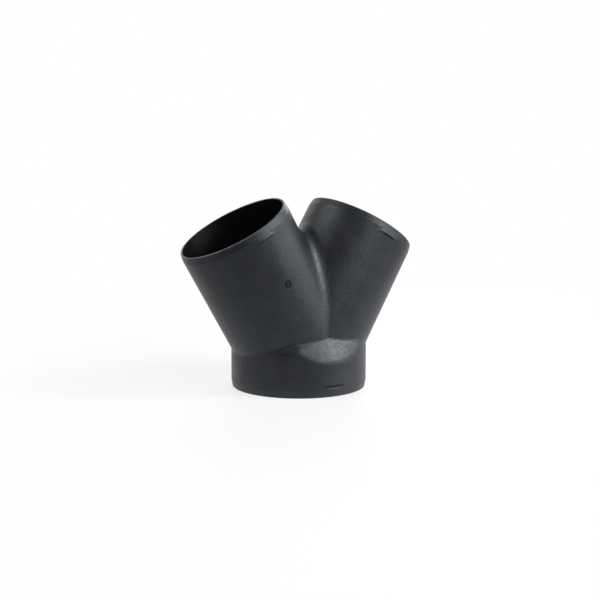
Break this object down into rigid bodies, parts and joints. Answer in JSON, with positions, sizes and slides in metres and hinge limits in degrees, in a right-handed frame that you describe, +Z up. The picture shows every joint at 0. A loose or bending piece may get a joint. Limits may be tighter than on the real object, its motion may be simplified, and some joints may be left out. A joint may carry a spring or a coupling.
{
  "type": "duct y branch",
  "caption": "Moulded black duct Y branch: a round collar with a rounded shoulder divides into narrower slanted legs for flexible air hose, with low retaining barbs near the rims.",
  "frame": {"origin": "centre of the collar's rim, on the plane that the fitting stands on", "axes": "+Z up along the collar's axis; the legs lean towards -X and +X; -Y is the front"},
  "size_m": [0.1618, 0.0912, 0.1245],
  "materials": {
    "black_plastic": "fine spark-eroded satin grain"
  },
  "bodies": {
    "root": {"branch_body": "black_plastic"}
  },
  "joints": []
}
